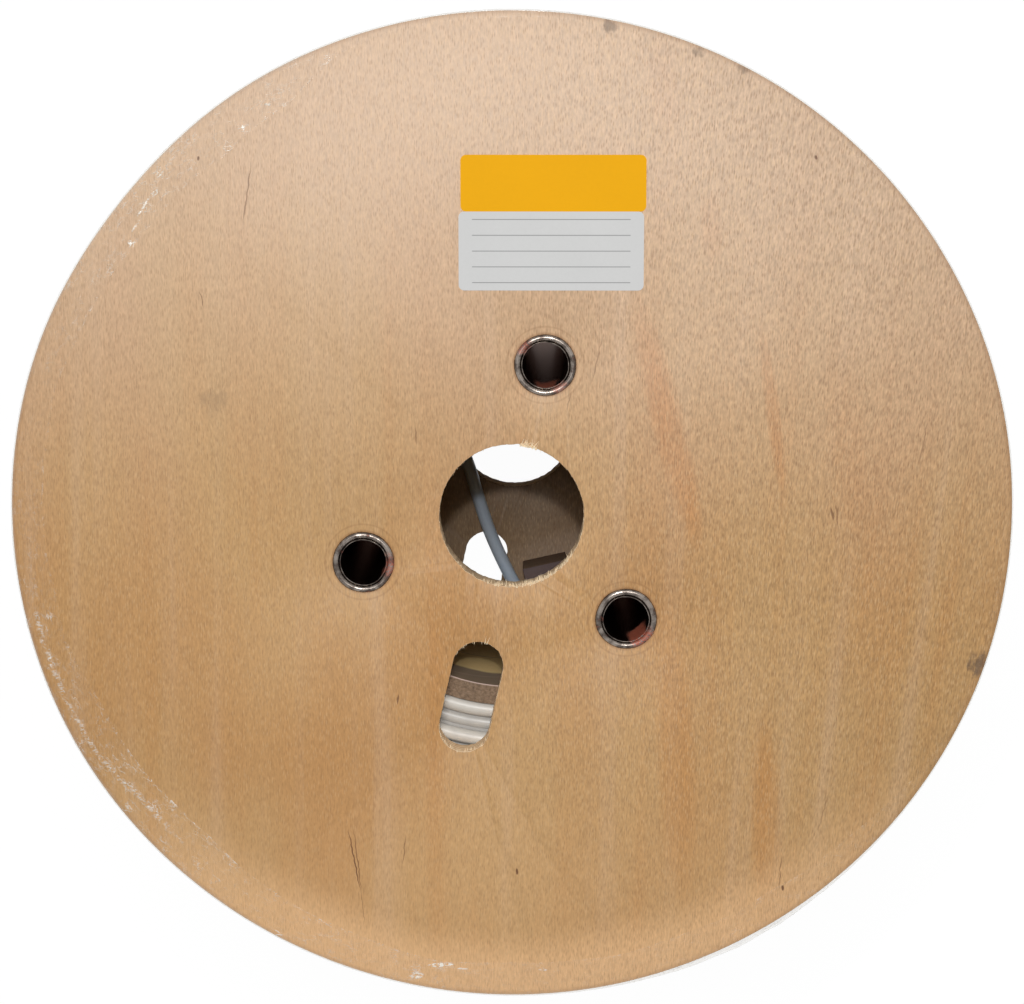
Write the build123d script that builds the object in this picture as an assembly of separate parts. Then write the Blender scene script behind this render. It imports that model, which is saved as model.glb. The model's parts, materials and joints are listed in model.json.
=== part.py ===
from build123d import *
import math
import os

# Plywood flanges; the drum stands on its rear end, with the labelled front flange on top
flange_diameter = 450.0
flange_thickness = 12.0
drum_width = 270.0
arbor_hole_diameter = 65.0
cable_slot_length = 52.0
cable_slot_width = 23.0
cable_slot_inner_share = 0.42
drum_turn = -12.4

# Cardboard barrel between the flanges, with a tongue of the same board folded in at its rear end
barrel_inner_diameter = 163.0
barrel_wall = 9.0
tongue_width = 24.0
tongue_height = 22.0
tongue_side = 6.0
tongue_thickness = 7.0
tongue_gap = 0.1

# Steel tie tubes, rolled over on both flanges
tube_count = 3
tube_outer_diameter = 22.0
tube_wall = 0.75
tube_roll_radius = 0.9
tube_curl_facets = 4
tube_barrel_gap = 0.5
tube_hole_gap = 0.15

# Cable wound on the barrel
cable_diameter = 7.0
layer_pitch_share = 0.886
turn_pitch_share = 1.03
rim_margin = 33.0
winding_gap = 0.2
last_layer_share = 0.5
end_valley_share = 0.6
end_recess_share = 0.5

# Loose inner end of the cable, lying on the rear flange inside the barrel
tail_angles = (270.8, 261.6, 243.7, 203.5, 165.7, 146.8)
tail_radius_shares = (0.694, 0.15, 0.02, 0.286, 0.795)
tail_bend_share = 0.45
tail_root_gap = 2.4
tail_bore_gap = 0.8
tail_wall_gap = 0.3
tail_floor_gap = 0.3

# Clear stretch film round both rims
film_thickness = 0.3
film_gap = 0.1
film_lap = 18.0

# Paper labels on the front flange
label_width = 82.0
label_thickness = 0.2
label_corner_radius = 2.5
white_label_height = 35.0
yellow_label_height = 25.0
label_side_share = 0.078
label_rise_share = 0.452

flange_radius = flange_diameter / 2
arbor_hole_radius = arbor_hole_diameter / 2
barrel_inner_radius = barrel_inner_diameter / 2
barrel_outer_radius = barrel_inner_radius + barrel_wall
inner_width = drum_width - 2 * flange_thickness
outer_face = drum_width / 2
inner_face = inner_width / 2
tube_outer_radius = tube_outer_diameter / 2
tube_inner_radius = tube_outer_radius - tube_wall
tube_pitch_radius = barrel_inner_radius - tube_outer_radius - tube_barrel_gap
tube_angles = [90 + drum_turn + 360 * step / tube_count for step in range(tube_count)]
slot_angle = 270 + drum_turn
slot_inner_end = barrel_inner_radius - cable_slot_inner_share * cable_slot_length
slot_outer_end = slot_inner_end + cable_slot_length
cable_radius = cable_diameter / 2


def around(angle, radius):
    turn = math.radians(angle)
    return radius * math.cos(turn), radius * math.sin(turn)


def turned(points):
    """A solid turned about the drum's axis from points of radius and height above the middle."""
    outline = Plane.XZ * make_face(Polyline(*points, close=True))
    return revolve(outline, Axis.Z)


def flange(foot):
    outline = Circle(flange_radius) - Circle(arbor_hole_radius)
    for angle in tube_angles:
        outline -= Pos(*around(angle, tube_pitch_radius)) * Circle(tube_outer_radius + tube_hole_gap)
    slot = SlotOverall(cable_slot_length, cable_slot_width)
    outline -= Rot(0, 0, slot_angle) * Pos((slot_inner_end + slot_outer_end) / 2, 0) * slot
    return extrude(Pos(0, 0, foot) * outline, amount=flange_thickness)


front_flange = flange(inner_face)
rear_flange = flange(-outer_face)

# Tie tube: a thin pipe whose ends curl outward and bear on the flange faces
roll_centre = tube_outer_radius + tube_roll_radius
roll_radius = tube_roll_radius + tube_wall


def curl(radius, facets):
    """Half a turn from the pipe's wall, over the top and back down to the flange face."""
    turns = [math.pi * step / facets for step in range(facets + 1)]
    return [(roll_centre - radius * math.cos(turn), outer_face + radius * math.sin(turn)) for turn in turns]


front_curl = curl(roll_radius, tube_curl_facets) + [(tube_outer_radius, outer_face)]
rear_curl = [(radius, -height) for radius, height in front_curl[::-1]]
tube = turned(front_curl + rear_curl)
tie_tubes = [Pos(*around(angle, tube_pitch_radius)) * tube for angle in tube_angles]

# Winding: full layers, then a last layer that stops part of the way down
layer_pitch = layer_pitch_share * cable_diameter
winding_inner = barrel_outer_radius + winding_gap
winding_face = inner_face - winding_gap
full_layers = int((flange_radius - rim_margin - winding_inner) / layer_pitch)
turns_per_layer = int(inner_width / (turn_pitch_share * cable_diameter))
turn_pitch = inner_width / turns_per_layer
end_recess = end_recess_share * turn_pitch
valley_face = winding_face - end_valley_share * cable_diameter
ringed_layers = math.ceil((slot_outer_end - winding_inner) / layer_pitch)


def end_rings(outside):
    """One end from the barrel outward: the turns that the slots uncover, then flat against the flange."""
    points = [(winding_inner, valley_face)]
    for layer in range(ringed_layers):
        inside = winding_inner + layer * layer_pitch
        points.append((inside + layer_pitch / 2, winding_face - (layer % 2) * end_recess))
        points.append((inside + layer_pitch, valley_face))
    return points + [(points[-1][0], winding_face), (outside, winding_face)]


last_layer_edge = inner_face - last_layer_share * inner_width
full_radius = winding_inner + full_layers * layer_pitch
top_radius = full_radius + layer_pitch
step = [(top_radius, last_layer_edge), (full_radius, last_layer_edge - turn_pitch / 2)]
rear_end = [(radius, -height) for radius, height in end_rings(full_radius)]
cable_winding = turned(end_rings(top_radius) + step + rear_end[::-1])

# Loose end of the cable: from the barrel's wall along the rear flange
nearest = arbor_hole_radius + tail_bore_gap + cable_radius
furthest = barrel_inner_radius - tail_wall_gap - cable_radius
tail_radii = [barrel_inner_radius - tail_root_gap]
tail_radii += [nearest + share * (furthest - nearest) for share in tail_radius_shares]
tail_height = cable_radius + tail_floor_gap - inner_face
tail_route = [Vector(*around(*point), tail_height) for point in zip(tail_angles, tail_radii)]
tail_runs = [after - before for before, after in zip(tail_route, tail_route[1:])]
bend_radii = []
for before, after in zip(tail_runs, tail_runs[1:]):
    half_turn = math.radians(before.get_angle(after)) / 2
    bend_radii.append(tail_bend_share * min(before.length, after.length) / math.tan(half_turn))
tail_line = FilletPolyline(*tail_route, radius=bend_radii)
tail_start = Plane(origin=tail_route[0], z_dir=tail_runs[0])
cable_tail = sweep(tail_start * Circle(cable_radius), path=tail_line)

# Barrel: a plain tube, and the tongue that stands against its wall beside the cable
barrel = turned(
    [
        (barrel_inner_radius, -inner_face),
        (barrel_outer_radius, -inner_face),
        (barrel_outer_radius, inner_face),
        (barrel_inner_radius, inner_face),
    ]
)
low = Align.MIN
fold = math.degrees(math.asin((tongue_side + tongue_width / 2) / barrel_inner_radius))
tongue_seat = math.sqrt((barrel_inner_radius - tongue_gap) ** 2 - (tongue_width / 2) ** 2)
tongue_foot = Rot(0, 0, fold) * Pos(0, -tongue_seat, -inner_face)
barrel_tongue = tongue_foot * Box(tongue_width, tongue_thickness, tongue_height, align=(Align.CENTER, low, low))

# Film: one wrap across both rims, lapped over the outer faces
film_face = outer_face + film_gap
film_radius = flange_radius + film_gap
film_outer_face = film_face + film_thickness
film_outer_radius = film_radius + film_thickness
lap_radius = flange_radius - film_lap
stretch_film = turned(
    [
        (lap_radius, -film_outer_face),
        (film_outer_radius, -film_outer_face),
        (film_outer_radius, film_outer_face),
        (lap_radius, film_outer_face),
        (lap_radius, film_face),
        (film_radius, film_face),
        (film_radius, -film_face),
        (lap_radius, -film_face),
    ]
)

# Labels: white below, yellow edge to edge above it
label_side = label_side_share * flange_radius
label_foot = label_rise_share * flange_radius


def label(height, foot):
    sheet = RectangleRounded(label_width, height, label_corner_radius)
    return extrude(Pos(label_side, foot + height / 2, outer_face) * sheet, amount=label_thickness)


label_white = label(white_label_height, label_foot)
label_yellow = label(yellow_label_height, label_foot + white_label_height)

nodes = {
    "front_flange": front_flange,
    "rear_flange": rear_flange,
    "barrel": barrel,
    "barrel_tongue": barrel_tongue,
    "cable_winding": cable_winding,
    "cable_tail": cable_tail,
    "stretch_film": stretch_film,
    "label_white": label_white,
    "label_yellow": label_yellow,
}
for number, tie_tube in enumerate(tie_tubes, start=1):
    nodes["tie_tube_" + str(number)] = tie_tube

# The drum stands on the rolled rims of its tubes
middle_height = outer_face + roll_radius
os.makedirs("parts", exist_ok=True)
for name, solid in nodes.items():
    export_step(Pos(0, 0, middle_height) * solid, os.path.join("parts", name + ".step"))

layer_lengths = []
for layer in range(full_layers + 1):
    turn_radius = winding_inner + cable_radius + layer * layer_pitch
    covered = last_layer_share if layer == full_layers else 1
    layer_lengths.append(2 * math.pi * turn_radius * turns_per_layer * covered)
print("middle height", round(middle_height, 3), "layers", full_layers, "turns", turns_per_layer)
print("winding radius", round(full_radius, 2), round(top_radius, 2), "cable metres", round(sum(layer_lengths) / 1000))
print("tail route", [tuple(round(value, 1) for value in point) for point in tail_route])
print("tail bends", [round(radius, 1) for radius in bend_radii], "tail length", round(tail_line.length, 1))
print("tail volume", round(cable_tail.volume), "section times length", round(math.pi * cable_radius**2 * tail_line.length))
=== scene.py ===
import json
import math
import random

import bmesh
import bpy
from bpy.props import FloatProperty, FloatVectorProperty, IntProperty, PointerProperty
from mathutils import Matrix, Vector, noise


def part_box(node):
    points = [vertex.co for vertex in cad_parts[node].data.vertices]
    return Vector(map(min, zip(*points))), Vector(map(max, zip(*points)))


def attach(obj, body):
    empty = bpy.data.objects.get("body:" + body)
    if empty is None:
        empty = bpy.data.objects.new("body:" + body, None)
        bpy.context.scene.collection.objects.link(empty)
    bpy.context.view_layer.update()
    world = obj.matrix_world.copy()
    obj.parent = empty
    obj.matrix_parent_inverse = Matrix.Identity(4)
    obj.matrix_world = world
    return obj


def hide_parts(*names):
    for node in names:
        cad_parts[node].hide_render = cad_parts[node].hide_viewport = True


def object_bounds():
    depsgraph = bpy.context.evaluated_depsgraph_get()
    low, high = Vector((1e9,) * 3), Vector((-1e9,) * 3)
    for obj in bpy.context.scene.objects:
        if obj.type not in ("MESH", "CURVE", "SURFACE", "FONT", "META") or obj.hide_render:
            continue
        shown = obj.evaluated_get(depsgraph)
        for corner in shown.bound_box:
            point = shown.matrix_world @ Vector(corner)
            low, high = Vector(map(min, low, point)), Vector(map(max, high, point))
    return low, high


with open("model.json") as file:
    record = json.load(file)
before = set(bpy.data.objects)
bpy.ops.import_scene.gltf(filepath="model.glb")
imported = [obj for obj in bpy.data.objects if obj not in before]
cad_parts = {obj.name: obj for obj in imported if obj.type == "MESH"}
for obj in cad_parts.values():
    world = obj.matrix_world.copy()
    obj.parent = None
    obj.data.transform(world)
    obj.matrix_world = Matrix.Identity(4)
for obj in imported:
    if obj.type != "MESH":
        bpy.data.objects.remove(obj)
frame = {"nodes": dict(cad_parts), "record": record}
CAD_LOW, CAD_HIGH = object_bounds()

bl_info = {
    "name": "Cable drum",
    "version": (1, 0, 0),
    "blender": (4, 5, 0),
    "location": "View3D > Sidebar > Drum",
    "description": "Dresses a packed cable drum in plywood, cardboard, steel, cable, film and paper",
    "category": "Object",
}

MM = 0.001
FRONT_LOW, FRONT_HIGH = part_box("front_flange")
REAR_LOW, REAR_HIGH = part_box("rear_flange")
BARREL_LOW, BARREL_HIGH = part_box("barrel")
WINDING_LOW, WINDING_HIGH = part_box("cable_winding")
FILM_LOW, FILM_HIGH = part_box("stretch_film")
TUBE_BOXES = [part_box(f"tie_tube_{number}") for number in (1, 2, 3)]
TUBE_PLACES = [(low + high) / 2 for low, high in TUBE_BOXES]
MOUNTS = {mount["name"]: mount["dims"] for mount in frame["record"]["mounts"]}
ARBOR_RADIUS = MOUNTS["arbor_bore"]["r_mm"] * MM
TUBE_BORE = MOUNTS["drive_hole_1"]["r_mm"] * MM
FLANGE_RADIUS = FRONT_HIGH.x
FLANGE_THICKNESS = FRONT_HIGH.z - FRONT_LOW.z
MIDDLE = (CAD_LOW.z + CAD_HIGH.z) / 2
SLOT_WAY = -TUBE_PLACES[0].to_2d().normalized()
SLOT_ANGLE = math.atan2(SLOT_WAY.y, SLOT_WAY.x)
BARREL_WALL = 9.0 * MM
BARREL_STEPS = 128
NOTCH_STEPS = 10
NOTCH_TURN = math.radians(247.5)
RIM_DENT_ANGLE = 140
BEAD_MIDDLE, BEAD_RADIUS = (12.55, 0.2), 1.45
WINDING_GAP = 0.2 * MM
FULL_TURNS, LAST_TURNS = 18, 16
SLOT_RINGS = 4
RING_VALLEY = 4.2 * MM
FILM_LAP = 18.0 * MM
FILM_POCKET_ANGLE = 298

# Camera, lamps and floor
CAMERA_PLACE = (0.0069, 0.2189, 1.4197)
CAMERA_TARGET = (0.0002, 0.05174, FRONT_HIGH.z)
CAMERA_SHIFT = -0.0977
KEY_PLACE, KEY_SIZE = (0.004, 0.245, 1.08), 0.018
SOFT_PLACE, SOFT_SIZE = (-0.15, 1.06, 3.04), 0.95
FLOOR_SIZE = 8.0


def linear(red, green, blue):
    """A screen colour of 0 to 255 as the linear colour that Blender keeps."""
    shares = [value / 255 for value in (red, green, blue)]
    return tuple(share / 12.92 if share <= 0.04045 else ((share + 0.055) / 1.055) ** 2.4 for share in shares)


def colour(name, description, *screen):
    return FloatVectorProperty(
        name=name, description=description, subtype="COLOR", min=0, max=1, default=linear(*screen)
    )


def length(name, description, millimetres):
    return FloatProperty(name=name, description=description, unit="LENGTH", default=millimetres * MM)


def share(name, description, value):
    return FloatProperty(name=name, description=description, subtype="FACTOR", min=0, max=1, default=value)


def count(name, description, value):
    return IntProperty(name=name, description=description, min=1, default=value)


def watts(name, description, value):
    return FloatProperty(name=name, description=description, unit="POWER", min=0, default=value)


class StageLook(bpy.types.PropertyGroup):
    """Camera, floor and lamps"""

    lens: FloatProperty(
        name="Lens", description="Focal length on a 36 mm sensor", unit="CAMERA", default=91.41
    )
    room: share("Room light", "Strength of the soft light from all round", 0.22)
    key: watts("Key lamp", "Power of the small lamp that shines into the arbor hole", 1.8)
    soft: watts("Soft lamp", "Power of the wide lamp above the labels", 47.5)
    floor_glow: share("Floor white", "Share of the floor's white that shadows leave alone", 0.9)


class PlywoodLook(bpy.types.PropertyGroup):
    """Plywood of both flanges"""

    tan: colour("Tan", "Main colour of the face veneer", 190, 150, 100)
    warm: colour("Warm", "Redder patches of the veneer", 185, 138, 86)
    # The pale colour serves the pale bands of the grain and also a painted sheen towards the top of the front
    # face, by the labels.
    pale: colour("Pale", "Pale sapwood towards the labels", 213, 184, 157)
    streak: colour("Streak", "Orange streaks beside the labels", 184, 122, 56)
    pore: colour("Pore", "Short dark pores along the grain", 126, 84, 48)
    fleck: colour("Fleck", "Short light fibres along the grain", 224, 190, 146)
    crack: colour("Crack", "Cracks and the knot", 92, 54, 28)
    # The inside colour is painted shade: a duller, darker copy of the veneer for the faces towards the
    # barrel.
    inside: colour("Inside", "Dull face towards the barrel", 132, 115, 98)
    # This colour is a painted sheen: the film's gloss near the bottom rim, painted into the wood as paler,
    # smoother veneer.
    film_sheen_and_pressed_ring: colour("Pressed", "Smooth pale wood under the film at the bottom", 234, 188, 138)
    bruise: colour("Bruise", "Grey bruises near the rim", 92, 74, 60)
    torn: colour("Torn fibre", "Fibres round the holes", 246, 226, 190)
    edge_light: colour("Edge, long grain", "Light plies on the sawn edges", 242, 216, 180)
    edge_dark: colour("Edge, end grain", "Dark plies on the sawn edges", 216, 180, 136)
    glue: colour("Glue line", "Lines between the plies", 172, 134, 94)
    plies: count("Plies", "Layers of veneer in a flange", 9)
    slot_length: length("Slot length", "Length of the cable slot", 52.0)
    slot_width: length("Slot width", "Width of the cable slot", 23.0)
    slot_start: length("Slot start", "Distance from the axis to the slot's inner end", 59.66)
    fray: length("Fray", "How far the torn edges of the holes stray", 0.35)


class CardboardLook(bpy.types.PropertyGroup):
    """Wound cardboard of the barrel and its tongue"""

    board: colour("Board", "Main colour of the board", 150, 124, 98)
    light: colour("Light fibre", "Light mottling", 184, 156, 134)
    dark: colour("Dark fibre", "Dark mottling and seams", 112, 90, 70)
    lip: colour("Lip", "Pale inner edge of the ends", 214, 190, 180)
    wall: colour("Wall", "Smooth paper of the walls", 255, 220, 150)
    # This colour is painted shade: on the walls just under the front end, where the front flange shades them,
    # and on the tongue's upward face.
    board_shade: colour("Collar", "Stained paper near the front end", 98, 84, 84)
    notch_height: length("Notch height", "Height of the notch for the cable at the rear end", 22.0)
    seam: length("Seam spacing", "Width of the spiral paper strips", 75.0)


class SteelLook(bpy.types.PropertyGroup):
    """Steel of the tie tubes"""

    bright: colour("Bright steel", "Rolled rims", 142, 133, 125)
    dull: colour("Dull steel", "Stained steel", 72, 64, 59)
    rust: colour("Rust", "Rust on the rims", 158, 86, 66)
    bore: colour("Bore", "Dull inside of the tubes", 78, 60, 52)
    glance: colour("Glance", "Tint of the bores seen at a flat angle", 165, 135, 122)


class CableLook(bpy.types.PropertyGroup):
    """White cable sheath"""

    sheath: colour("Sheath", "Main colour of the sheath", 204, 200, 192)
    dust: colour("Dust", "Grey dust on the sheath", 172, 170, 168)
    # The valley colour and its strength are painted shade in the recessed valleys between the turns on the
    # winding's ends.
    valley: colour("Valley", "Grimy valleys between the turns on the ends", 104, 104, 108)
    valley_shade: share("Grime", "Strength of the grime in those valleys", 0.6)
    # The loose end's sheath colour is a bluer, darker copy of the sheath: painted cool shade for the end
    # inside the barrel.
    tail: colour("Tail", "Sheath of the loose end in the barrel's shade", 186, 200, 216)
    diameter: length("Diameter", "Thickness of the cable", 7.0)
    turn_pitch: length("Turn pitch", "Distance from turn to turn", 7.235)
    layer_pitch: length("Layer pitch", "Distance from layer to layer", 6.202)


class FilmLook(bpy.types.PropertyGroup):
    """Clear stretch film"""

    tint: colour("Tint", "Colour where the film creases", 255, 249, 236)
    flat_share: share("Flat film", "How much the smooth lap hides", 0.0)
    side_share: share("Side film", "How much the many layers on the side hide", 0.2)
    pocket: length("Pocket", "How far the loose film stands off the rim at the lower right", 4.6)
    sag: length("Sag", "How far the film draws in between the flanges", 4.0)


class LabelLook(bpy.types.PropertyGroup):
    """Two paper labels without print"""

    white: colour("White paper", "Lower label", 207, 207, 206)
    yellow: colour("Yellow paper", "Upper label", 236, 170, 0)
    rule: colour("Rules", "Thin plain rules on the lower label", 150, 150, 150)
    corner: length("Corner radius", "Rounding of the corners", 2.5)


class Value:
    """One output of a node, with the operators that shader maths is written in."""

    def __init__(self, paint, socket):
        self.paint = paint
        self.socket = socket

    def __add__(self, other):
        return self.paint.maths("ADD", self, other)

    def __radd__(self, other):
        return self.paint.maths("ADD", other, self)

    def __sub__(self, other):
        return self.paint.maths("SUBTRACT", self, other)

    def __rsub__(self, other):
        return self.paint.maths("SUBTRACT", other, self)

    def __mul__(self, other):
        return self.paint.maths("MULTIPLY", self, other)

    def __rmul__(self, other):
        return self.paint.maths("MULTIPLY", other, self)

    def __truediv__(self, other):
        return self.paint.maths("DIVIDE", self, other)

    def __rtruediv__(self, other):
        return self.paint.maths("DIVIDE", other, self)

    def __pow__(self, other):
        return self.paint.maths("POWER", self, other)

    def __abs__(self):
        return self.paint.maths("ABSOLUTE", self)


class Paint:
    """The nodes of one material or of the world."""

    def __init__(self, owner):
        self.owner = owner
        owner.use_nodes = True
        self.tree = owner.node_tree
        self.tree.nodes.clear()

    def add(self, kind, settings=None, inputs=None, output=0):
        """Adds a node of any kind: its settings first, then the values or links of its sockets."""
        node = self.tree.nodes.new(kind)
        for name, value in (settings or {}).items():
            setattr(node, name, value)
        for name, value in (inputs or {}).items():
            if isinstance(value, Value):
                self.tree.links.new(value.socket, node.inputs[name])
            else:
                node.inputs[name].default_value = value
        return Value(self, node.outputs[output]) if node.outputs else None

    def maths(self, operation, *values):
        return self.add("ShaderNodeMath", {"operation": operation}, dict(enumerate(values)))

    def most(self, first, second):
        return self.maths("MAXIMUM", first, second)

    def reach(self, x, y):
        """The distance from the middle of a plane."""
        return self.maths("SQRT", x * x + y * y)

    def ellipse(self, x, y, middle, halves, slant, edge, full, strength):
        """The strength inside a slanted ellipse and zero outside it; slant is its step in x for one in y."""
        (middle_x, middle_y), (half_x, half_y) = middle, halves
        shift = self.maths("MULTIPLY_ADD", y, -slant / half_x, (slant * middle_y - middle_x) / half_x)
        side = self.maths("MULTIPLY_ADD", x, 1 / half_x, shift)
        rise = self.maths("MULTIPLY_ADD", y, 1 / half_y, -middle_y / half_y)
        away = self.maths("MULTIPLY_ADD", rise, rise, side * side)
        return self.slope(away, edge, full, 0.0, strength)

    def patches(self, spots, place, wobble, full, under):
        """Lays round patches with wobbly edges over a value: middle in millimetres, radius, strength."""
        x, y = self.split(place)[:2]
        for middle_x, middle_y, radius, strength in spots:
            away = self.reach(x * (1 / MM) - middle_x, y * (1 / MM) - middle_y) / radius
            under = self.most(self.slope(away + wobble, 1.0, full) * strength, under)
        return under

    def place(self):
        return self.add("ShaderNodeTexCoord", output="Object")

    def tilt(self):
        """The upward part of the surface's direction."""
        return self.split(self.add("ShaderNodeNewGeometry", output="Normal"))[2]

    def split(self, vector):
        node = self.add("ShaderNodeSeparateXYZ", inputs={0: vector}).socket.node
        return [Value(self, socket) for socket in node.outputs]

    def join(self, x, y, z):
        return self.add("ShaderNodeCombineXYZ", inputs={0: x, 1: y, 2: z})

    def scaled(self, vector, scale, shift=(0, 0, 0)):
        settings = {"operation": "MULTIPLY_ADD"}
        return self.add("ShaderNodeVectorMath", settings, {0: vector, 1: scale, 2: shift})

    def dimmed(self, tint, level):
        return self.add("ShaderNodeVectorMath", {"operation": "SCALE"}, {0: tint, "Scale": level})

    def slope(self, value, low, high, start=0.0, end=1.0):
        settings = {"interpolation_type": "SMOOTHSTEP"}
        inputs = {"Value": value, "From Min": low, "From Max": high, "To Min": start, "To Max": end}
        return self.add("ShaderNodeMapRange", settings, inputs)

    def cloud(self, vector, detail=2.0, roughness=0.5):
        inputs = {"Vector": vector, "Scale": 1.0, "Detail": detail, "Roughness": roughness}
        return self.add("ShaderNodeTexNoise", inputs=inputs)

    def mix(self, factor, under, over):
        under, over = (tint if isinstance(tint, Value) else (*tint, 1) for tint in (under, over))
        return self.add("ShaderNodeMix", {"data_type": "RGBA"}, {0: factor, 6: under, 7: over}, output=2)

    def dashes(self, vector, low, high, kept):
        """Short strokes along the grain: the middles of stretched cells, of which a share is kept."""
        settings = {"voronoi_dimensions": "2D"}
        cell = self.add("ShaderNodeTexVoronoi", settings, {"Vector": vector, "Scale": 1.0}).socket.node
        distance, tint = Value(self, cell.outputs["Distance"]), Value(self, cell.outputs["Color"])
        return self.slope(distance, high, low) * self.slope(self.split(tint)[0], 1 - kept, 1.05 - kept)

    def bump(self, height, strength, distance):
        inputs = {"Strength": strength, "Distance": distance, "Height": height}
        return self.add("ShaderNodeBump", inputs=inputs)

    def finish(self, inputs):
        """Closes a material with a Principled shader that has these inputs."""
        shader = self.add("ShaderNodeBsdfPrincipled", inputs=inputs)
        self.add("ShaderNodeOutputMaterial", inputs={"Surface": shader})
        return self.owner


def new_paint(name):
    return Paint(bpy.data.materials.new(name))


def solid(tint):
    return (*tint, 1.0)


# Cracks and a knot of the labelled face: both ends in millimetres, half width, depth of tone
CRACKS = (
    (-114.8, 158.1, -118.7, 130.7, 0.32, 0.55),
    (-138.3, 101.0, -137.0, 94.3, 0.3, 0.6),
    (-74.8, -145.2, -69.5, -174.6, 0.36, 0.8),
    (-72.1, -147.1, -69.1, -174.2, 0.28, 0.65),
    (-69.1, -174.2, -67.8, -189.4, 0.22, 0.4),
    (-48.3, -148.5, -50.2, -162.2, 0.28, 0.6),
    (-51.5, -82.7, -51.5, -86.9, 0.4, 0.7),
    (-42.7, 40.0, -42.7, 32.7, 0.35, 0.5),
    (40.2, 79.6, 35.9, 60.8, 0.35, 0.4),
    (26.5, 56.3, 24.8, 47.7, 0.3, 0.4),
    (123.3, -157.6, 122.6, -173.8, 0.28, 0.55),
    (124.0, -172.3, 124.0, -174.2, 0.7, 0.9),
    (2.5, -164.5, 2.5, -166.9, 0.6, 0.9),
    (143.0, 3.9, 144.6, -1.4, 0.6, 0.6),
    (145.6, 4.6, 146.4, -4.0, 0.45, 0.5),
    (185.9, 43.3, 181.9, 22.5, 0.35, 0.35),
    (144.7, -128.7, 139.6, -146.7, 0.3, 0.35),
    (-138.1, 160.7, -138.1, 159.4, 0.6, 0.8),
    (133.9, 161.2, 134.0, 159.9, 0.6, 0.8),
)

# Bruises near the rim of the labelled face: middle and radius in millimetres, depth of tone
BRUISES = (
    (43.0, 218.2, 4.0, 0.6),
    (82.0, 206.5, 3.2, 0.55),
    (101.8, 199.2, 3.4, 0.5),
    (211.5, -68.3, 6.5, 0.75),
    (-133.6, 52.0, 8.0, 0.22),
)

# Orange streaks of the labelled face: middle, half width, half height, slant, strength
STREAKS = (
    (66.2, 191.5, 8.0, 26.0, 0.1, 0.8),
    (70.7, 43.0, 9.0, 66.0, 0.23, 1.0),
    (117.5, 47.4, 4.0, 46.0, 0.13, 0.7),
    (89.9, 129.2, 6.0, 20.0, 0.1, 0.7),
    (74.5, -111.5, 11.0, 85.0, 0.05, 0.45),
    (115.9, -143.8, 9.0, 60.0, 0.05, 0.5),
    (150.0, 40.0, 10.0, 60.0, 0.1, 0.3),
)


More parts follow.
